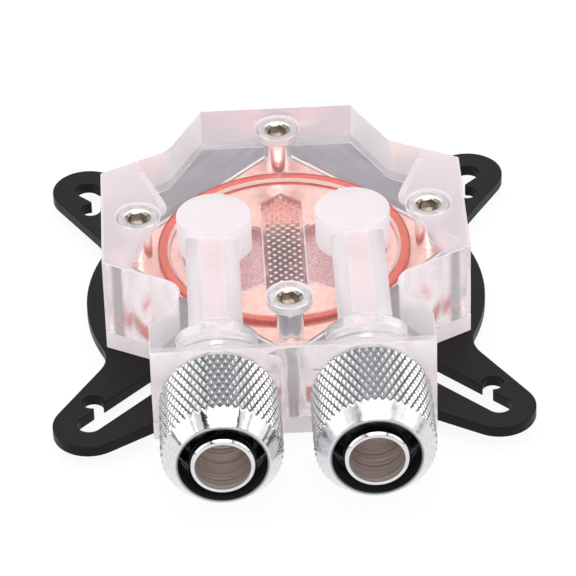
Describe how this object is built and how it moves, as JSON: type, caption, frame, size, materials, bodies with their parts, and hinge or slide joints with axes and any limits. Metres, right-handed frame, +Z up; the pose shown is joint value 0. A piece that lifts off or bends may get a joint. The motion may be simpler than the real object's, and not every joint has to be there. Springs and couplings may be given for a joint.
{
  "type": "liquid cooling cold plate",
  "caption": "Clear-topped cold plate: pin-finned copper base, slotted cross bracket, cap screws and front hose fittings with knurled collars.",
  "frame": {"origin": "centre of the copper contact face, midway between the four cover screws", "axes": "+Z up away from the cooled device, -Y the side where the two hose fittings leave, +X to the right seen from the fittings"},
  "size_m": [0.078, 0.0957, 0.0223],
  "materials": {
    "clear_acrylic": "polished top, satin machined sides",
    "copper": "machined copper",
    "black_metal": "satin black",
    "orange_rubber": "matte",
    "screw_steel": "bright nickel",
    "fitting_chrome": "polished chrome",
    "black_rubber": "matte"
  },
  "bodies": {
    "root": {"clear_cover": "clear_acrylic", "copper_base": "copper", "mounting_bracket": "black_metal", "chamber_o_ring": "orange_rubber", "cover_screw_front": "screw_steel", "cover_screw_back": "screw_steel", "cover_screw_left": "screw_steel", "cover_screw_right": "screw_steel", "fitting_body_left": "fitting_chrome", "fitting_body_right": "fitting_chrome", "collar_nut_left": "fitting_chrome", "collar_nut_right": "fitting_chrome", "port_o_ring_left": "black_rubber", "port_o_ring_right": "black_rubber"}
  },
  "joints": []
}
